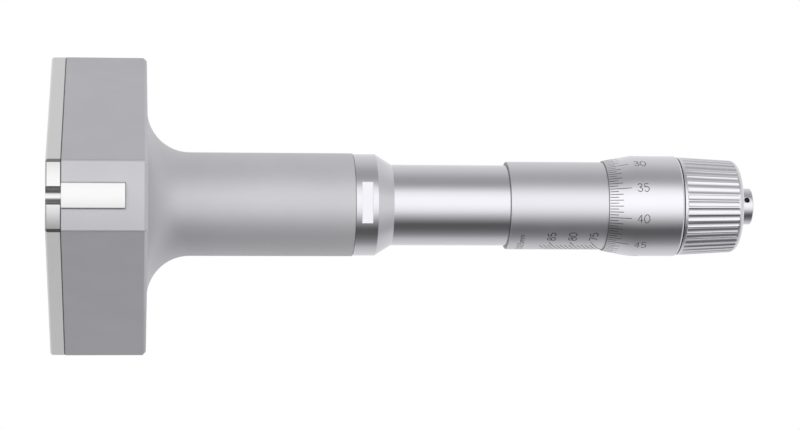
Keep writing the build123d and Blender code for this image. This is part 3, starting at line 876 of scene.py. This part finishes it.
def make_cap():
    """The screw that closes the knob, with its cross hole."""
    cap = turned(
        (0, HUB_END - CAP_SHANK_LENGTH),
        (CAP_SHANK_RADIUS, HUB_END - CAP_SHANK_LENGTH),
        (CAP_SHANK_RADIUS, HUB_END),
        (CAP_NECK_RADIUS, HUB_END),
        (CAP_NECK_RADIUS, CAP_START),
        (CAP_RADIUS, CAP_START),
        (CAP_RADIUS, CAP_END),
        (0, CAP_END),
        steps=BORE_STEPS,
    )
    cap = break_edges(cap, CAP_ROUNDING, segments=4, where=at_place(CAP_END))
    hole = rod(TOMMY_RADIUS, -2 * CAP_RADIUS, 2 * CAP_RADIUS, steps=HOLE_STEPS)
    middle = Matrix.Translation((0, 0, TOMMY_PLACE))
    across = Matrix.Rotation(TOMMY_TURN, 4, "Z") @ middle @ Matrix.Rotation(math.pi / 2, 4, "Y")
    cap = joined(tidy(cap), "DIFFERENCE", moved(hole, across))

    def on_hole_edge(middle, edge):
        return flat_radius(middle) > CAP_NECK_RADIUS + 0.3 and CAP_START + 0.1 < middle.z < CAP_END - 0.6

    return break_edges(cap, TOMMY_BREAK, segments=2, sharper_than=50, where=on_hole_edge)


def in_tommy_hole(middle):
    """Is this point on the wall of the cap's cross hole, which gets dark steel as painted shade?"""
    across = -middle.x * math.sin(TOMMY_TURN) + middle.y * math.cos(TOMMY_TURN)
    from_middle = math.hypot(across, middle.z - TOMMY_PLACE)
    return from_middle < TOMMY_RADIUS + 0.02 and flat_radius(middle) < CAP_RADIUS - 0.1


# Graduations

LINE_WIDTH = 0.17
LETTER_WIDTH = 0.17
PAINT_THICKNESS = 0.012
INDEX_TURN = math.radians(89.4)

# Strokes of each sign on a unit-high field: round ones bend smoothly through their points
ROUND, STRAIGHT, LOOP = "round", "straight", "loop"
SIGNS = {
    "0": (0.56, [(LOOP, [(0.28, 1), (0, 0.72), (0, 0.28), (0.28, 0), (0.56, 0.28), (0.56, 0.72)])]),
    "1": (0.34, [(STRAIGHT, [(0.04, 0.78), (0.28, 1), (0.28, 0)])]),
    "2": (0.56, [
        (ROUND, [(0.02, 0.74), (0.28, 1), (0.53, 0.74), (0.36, 0.4), (0, 0)]),
        (STRAIGHT, [(0, 0), (0.56, 0)]),
    ]),
    "3": (0.56, [
        (ROUND, [(0.02, 0.84), (0.27, 1), (0.51, 0.77), (0.22, 0.54)]),
        (ROUND, [(0.22, 0.54), (0.56, 0.28), (0.27, 0), (0, 0.18)]),
    ]),
    "4": (0.6, [(STRAIGHT, [(0.44, 0), (0.44, 1), (0, 0.3), (0.6, 0.3)])]),
    "5": (0.56, [
        (STRAIGHT, [(0.5, 1), (0.08, 1), (0.04, 0.54)]),
        (ROUND, [(0.04, 0.54), (0.3, 0.63), (0.56, 0.32), (0.27, 0), (0, 0.16)]),
    ]),
    "7": (0.56, [(STRAIGHT, [(0, 1), (0.56, 1), (0.2, 0)])]),
    "8": (0.56, [
        (LOOP, [(0.28, 1), (0.05, 0.77), (0.28, 0.54), (0.51, 0.77)]),
        (LOOP, [(0.28, 0.54), (0, 0.27), (0.28, 0), (0.56, 0.27)]),
    ]),
    ".": (0.1, [(STRAIGHT, [(0.05, 0), (0.05, 0.08)])]),
    "m": (0.72, [
        (STRAIGHT, [(0, 0), (0, 0.66)]),
        (ROUND, [(0, 0.46), (0.18, 0.66), (0.36, 0.46), (0.36, 0)]),
        (ROUND, [(0.36, 0.46), (0.54, 0.66), (0.72, 0.46), (0.72, 0)]),
    ]),
}
LETTER_GAP = 0.22
STROKE_STEP = 0.4


class Scale:
    """Marks drawn flat, along the axis and round it in millimetres, then wrapped on a turned surface."""

    def __init__(self, radius_at, reference_radius):
        self.radius_at = radius_at
        self.reference_radius = reference_radius
        self.drawing = bpy.data.curves.new("drawing", "CURVE")
        self.drawing.dimensions = "3D"
        self.drawing.bevel_depth = 0.5
        self.drawing.bevel_resolution = 1
        self.drawing.resolution_u = 6
        self.drawing.use_fill_caps = True

    def stroke(self, points, kind, width):
        """One stroke through (place, turn) points. Straight runs are divided to follow the surface."""
        if kind == STRAIGHT:
            runs = zip(points, points[1:])
            points = [points[0]] + [spot for run in runs for spot in self.divided(*run)]
        line = self.drawing.splines.new("BEZIER")
        line.bezier_points.add(len(points) - 1)
        line.use_cyclic_u = kind == LOOP
        for point, (place, turn) in zip(line.bezier_points, points):
            point.co = (place, turn * self.reference_radius, 0)
            point.radius = width
            point.handle_left_type = point.handle_right_type = "VECTOR" if kind == STRAIGHT else "AUTO"

    def divided(self, start, end):
        """Points that divide a straight run into short steps, without its first point."""
        length = math.hypot(end[0] - start[0], (end[1] - start[1]) * self.reference_radius)
        steps = max(1, round(length / STROKE_STEP)) if start[1] != end[1] else 1
        shares = [step / steps for step in range(1, steps + 1)]
        return [tuple(a + (b - a) * share for a, b in zip(start, end)) for share in shares]

    def line(self, start, end):
        """A straight graduation between two (place, turn) ends."""
        self.stroke([start, end], STRAIGHT, LINE_WIDTH)

    def words(self, signs, place, turn, height, along, up, width=LETTER_WIDTH):
        """Signs centred on a place. Along and up are (place, arc) directions of the text."""
        length = sum(SIGNS[sign][0] for sign in signs) + LETTER_GAP * (len(signs) - 1)
        pen = -length / 2
        for sign in signs:
            sign_width, strokes = SIGNS[sign]
            for kind, points in strokes:
                spots = []
                for x, y in points:
                    right, rise = (pen + x) * height, (y - 0.5) * height
                    spots.append((
                        place + right * along[0] + rise * up[0],
                        turn + (right * along[1] + rise * up[1]) / self.reference_radius,
                    ))
                self.stroke(spots, kind, width)
            pen += sign_width + LETTER_GAP

    def wrapped(self):
        """The marks as one shape, flattened to the paint's thickness and wrapped on the surface."""
        item = bpy.data.objects.new("drawing", self.drawing)
        bpy.context.scene.collection.objects.link(item)
        mesh = bpy.data.meshes.new_from_object(item.evaluated_get(bpy.context.evaluated_depsgraph_get()))
        marks = bmesh.new()
        marks.from_mesh(mesh)
        bpy.data.meshes.remove(mesh)
        bpy.data.objects.remove(item)
        bpy.data.curves.remove(self.drawing)
        for corner in marks.verts:
            place, arc, height = corner.co
            turn = arc / self.reference_radius
            radius = self.radius_at(place) + height / (LINE_WIDTH / 2) * PAINT_THICKNESS
            corner.co = (radius * math.cos(turn), radius * math.sin(turn), place)
        return tidy(marks)


THIMBLE_DIVISIONS = 100
DIVISION_TURN = 2 * math.pi / THIMBLE_DIVISIONS
HALF_TICK, UNIT_TICK, FIVE_TICK = 2.2, 3.3, 5.2
NUMBER_PLACE = THIMBLE_EDGE + 7.95
NUMBER_HEIGHT = 2.0


def thimble_surface(place):
    """Radius of the thimble's graduated skin."""
    share = min(max((place - THIMBLE_EDGE) / (TAPER_END - THIMBLE_EDGE), 0), 1)
    return EDGE_RADIUS + share * (THIMBLE_RADIUS - EDGE_RADIUS)


def make_thimble_marks():
    """A hundred divisions, numbered 0 to 45 by fives, since two of them make one unit."""
    scale = Scale(thimble_surface, THIMBLE_RADIUS)
    for division in range(THIMBLE_DIVISIONS):
        turn = INDEX_TURN + division * DIVISION_TURN
        length = FIVE_TICK if division % 10 == 0 else UNIT_TICK if division % 2 == 0 else HALF_TICK
        start = THIMBLE_EDGE + EDGE_ROUNDING + LINE_WIDTH / 2
        scale.line((start, turn), (THIMBLE_EDGE + length, turn))
        if division % 10 == 0:
            scale.words(str(division // 2), NUMBER_PLACE, turn, NUMBER_HEIGHT, along=(1, 0), up=(0, -1))
    return scale.wrapped()


LOWEST_READING, HIGHEST_READING = 75, 88
READING_STEP = 1.0
LONG_TICK_TURN = math.radians(58.7)
SHORT_TICK_TURN = math.radians(66.7)
LONG_TICK_LEAN = 3.5
TICK_SLANT = LONG_TICK_LEAN / (INDEX_TURN - LONG_TICK_TURN)
INDEX_START = SLEEVE_START + 0.6
INDEX_END = THIMBLE_EDGE + 1.0
READING_OFFSET = 3.05
READING_TURN = math.radians(48)
READING_HEIGHT = 1.85
READING_STROKE = 0.22
DIVISION_VALUE = "0.005mm"
VALUE_PLACE = SLEEVE_START + 3.4
VALUE_TURN = math.radians(64.7)
VALUE_HEIGHT = 1.4
VALUE_STROKE = 0.13
ROUND_SLEEVE, TO_FRONT = (0, -1), (-1, 0)


def make_sleeve_marks():
    """The index line, the slanting millimetre ticks with their numbers, and the value of a division."""
    scale = Scale(lambda place: SLEEVE_RADIUS, SLEEVE_RADIUS)
    scale.line((INDEX_START, INDEX_TURN), (INDEX_END, INDEX_TURN))
    for reading in range(LOWEST_READING, HIGHEST_READING + 1):
        place = THIMBLE_EDGE - READING_STEP * (reading - LOWEST_READING)
        numbered = reading % 5 == 0
        end_turn = LONG_TICK_TURN if numbered else SHORT_TICK_TURN
        end = place - TICK_SLANT * (INDEX_TURN - end_turn)
        scale.line((place, INDEX_TURN), (end, end_turn))
        if numbered:
            scale.words(
                str(reading), place - READING_OFFSET, READING_TURN, READING_HEIGHT,
                along=ROUND_SLEEVE, up=TO_FRONT, width=READING_STROKE,
            )
    scale.words(
        DIVISION_VALUE, VALUE_PLACE, VALUE_TURN, VALUE_HEIGHT,
        along=ROUND_SLEEVE, up=TO_FRONT, width=VALUE_STROKE,
    )
    return scale.wrapped()


# The pieces

STEEL, CHROME, SATIN = "ground_steel", "bright_chrome", "satin_chrome"
piece("machined_head", make_head(), FINISHES["matte_grey_aluminium"], "frame", "head_body",
      slot="matte_grey_aluminium", inlay=SHADOWED_EDGE, inlay_where=in_cover_seam)
# The cover's seam, notch walls and broken corners carry painted shade
piece("notched_cover", make_cover(), FINISHES[STEEL], "frame", "front_cover", slot=STEEL, sharp_from=24,
      inlay=PAINTED_SHADE_STEEL, inlay_where=milled_after_grinding)
piece("turned_barrel", make_barrel(), FINISHES[CHROME], "frame", "barrel", slot=CHROME, sharp_from=18,
      inlay=SHADOWED_EDGE, inlay_where=in_ring_seam)
piece("turned_sleeve", make_sleeve(), FINISHES[SATIN], "frame", "graduated_sleeve", slot=SATIN,
      inlay=SHADOWED_EDGE, inlay_where=lambda middle: middle.z < LIP_PLACE + LIP_SHADOW)
piece("turned_thimble", make_thimble(), THIMBLE_CHROME, "thimble", "thimble", slot=SATIN,
      inlay=SHADOWED_EDGE, inlay_where=in_thimble_shadow)
piece("fluted_knob", make_knob(), KNOB_CHROME, "knob", "friction_knob", slot=CHROME)
# Painted shade: the wall of the cap's cross hole gets the dark steel finish, so the hole reads dark
piece("drilled_cap", make_cap(), FINISHES[CHROME], "thimble", "end_cap", slot=CHROME,
      inlay=FINISHES["dark_steel"], inlay_where=in_tommy_hole)
piece("thimble_graduations", make_thimble_marks(), ENGRAVING, "thimble", slot=SATIN)
piece("sleeve_graduations", make_sleeve_marks(), ENGRAVING, "frame", slot=SATIN)

for arm in range(ARMS):
    number = arm + 1
    piece(f"crowned_tip_{number}", make_tip(arm), FINISHES["carbide"], f"anvil_{number}",
          f"anvil_tip_{number}", slot="carbide")
    coil = piece(f"wound_spring_{number}", make_coil(arm), FINISHES["spring_steel"], "frame",
                 f"return_spring_{number}", slot="spring_steel")
    coil.modifiers.clear()
    outward = LYING @ Matrix.Rotation(arm * ARM_TURN, 4, "Z") @ Vector((1, 0, 0))
    spring_length = POCKET_RADIUS - FOOT_RADIUS
    tuple(outward * POCKET_RADIUS * MM)
    (spring_length - TRAVEL) / spring_length
    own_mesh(coil)

for subpart in frame["record"]["subparts"]:
    node = frame["nodes"][subpart["node"]]
    if not node.hide_render:
        for material_slot in node.material_slots:
            material_slot.material = FINISHES[subpart["material_slot"]]


# Camera

VIEW_PLACE = 81.88
VIEW_DROP = 2.36
VIEW_DISTANCE = 600.0
VIEW_PITCH = math.radians(2.547)
VIEW_SIDE = math.radians(0.442)
VIEW_ROLL = math.radians(-0.054)
LENS = 114.51


def aim_camera():
    """Looks down on the gauge from nearly straight above, as the photo does."""
    back = Vector((-math.sin(VIEW_SIDE), -math.sin(VIEW_PITCH), math.cos(VIEW_PITCH))).normalized()
    right = Vector((0, 1, 0)).cross(back).normalized()
    up = back.cross(right)
    roll = Matrix.Rotation(VIEW_ROLL, 3, "Z")
    turn = Matrix((right, up, back)).transposed() @ roll
    target = (AXIS * VIEW_PLACE + Vector((0, -VIEW_DROP, 0))) * MM
    lens = bpy.data.cameras.new("camera")
    lens.lens = LENS
    lens.clip_start = 0.01
    lens.clip_end = 10
    camera = bpy.data.objects.new("camera", lens)
    bpy.context.scene.collection.objects.link(camera)
    camera.matrix_world = Matrix.Translation(target + back * VIEW_DISTANCE * MM) @ turn.to_4x4()
    bpy.context.scene.camera = camera


# Light

# Brightness of the studio round the gauge, by degrees from straight above towards the near side
STUDIO_LEVELS = (
    (-180, 0.86), (-160, 0.85), (-144, 0.79), (-128, 0.74), (-112, 0.66), (-96, 0.54), (-84, 0.44),
    (-68, 0.4), (-58, 0.47), (-48, 0.7), (-36, 1.06), (-20, 1.22), (-4, 1.22), (8, 1.12), (18, 0.95),
    (32, 0.56), (46, 0.25), (56, 0.11), (70, 0.12), (84, 0.2), (96, 0.32), (112, 0.58), (128, 0.7),
    (144, 0.76), (160, 0.8), (180, 0.86),
)
REAR_LEVEL = 0.77
FRONT_LEVEL = 0.5
FULL_LEVEL = 2.0

# Squared share of a direction along the gauge where the room's ends begin, and where they take over
ENDS_FROM, ENDS_FULL = 0.55, 0.95


def light_studio():
    """A white room with a bright band overhead and darker bands along the gauge's sides."""
    world = bpy.data.worlds.new("studio")
    bpy.context.scene.world = world
    world.use_nodes = True
    room = Nodes(world.node_tree)
    direction = room.add("ShaderNodeTexCoord").outputs["Generated"]
    parts = room.add("ShaderNodeSeparateXYZ", {}, {0: direction})
    along, across, height = (Number(room, output) for output in parts.outputs)
    angle = (across * -1).step("ARCTAN2", height) - VIEW_PITCH
    stops = [(0.5 + degrees / 360, level / FULL_LEVEL) for degrees, level in STUDIO_LEVELS]
    ramp = room.number("ShaderNodeValToRGB", {"stops": stops}, {0: angle / (2 * math.pi) + 0.5})
    level = ramp * FULL_LEVEL
    endwise = ((along * along - ENDS_FROM) / (ENDS_FULL - ENDS_FROM)).held(0, 1)
    end_level = along.step("GREATER_THAN", 0) * (REAR_LEVEL - FRONT_LEVEL) + FRONT_LEVEL
    level = level * (1 - endwise) + endwise * end_level
    seen = room.number("ShaderNodeLightPath", output="Is Camera Ray")
    strength = level * (1 - seen) + seen
    glow = room.add("ShaderNodeBackground", {}, {"Color": (1, 1, 1, 1), "Strength": strength})
    room.add("ShaderNodeOutputWorld", {}, {"Surface": glow.outputs[0]})


# The floor, in metres
FLOOR_MIDDLE = 0.08
FLOOR_HALF = 3.0
FLOOR_GAP = 0.0001


def lay_floor():
    """The plain white surface under the gauge. Only the camera sees it, so light comes from below too."""
    floor = bmesh.new()
    lowest = Matrix.Translation((FLOOR_MIDDLE, 0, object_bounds()[0].z - FLOOR_GAP))
    bmesh.ops.create_grid(floor, x_segments=1, y_segments=1, size=FLOOR_HALF, matrix=lowest)
    mesh = bpy.data.meshes.new("floor")
    floor.to_mesh(mesh)
    floor.free()
    item = bpy.data.objects.new("floor", mesh)
    bpy.context.scene.collection.objects.link(item)
    material = bpy.data.materials.new("white_floor")
    material.use_nodes = True
    paint = Nodes(material.node_tree)
    seen = paint.number("ShaderNodeLightPath", output="Is Camera Ray")
    clear = paint.add("ShaderNodeBsdfTransparent")
    glow = paint.add("ShaderNodeEmission")
    surface = paint.add("ShaderNodeMixShader", {}, {0: seen, 1: clear.outputs[0], 2: glow.outputs[0]})
    paint.add("ShaderNodeOutputMaterial", {}, {"Surface": surface.outputs[0]})
    mesh.materials.append(material)


aim_camera()
light_studio()
lay_floor()
bpy.context.scene.view_settings.view_transform = "Standard"
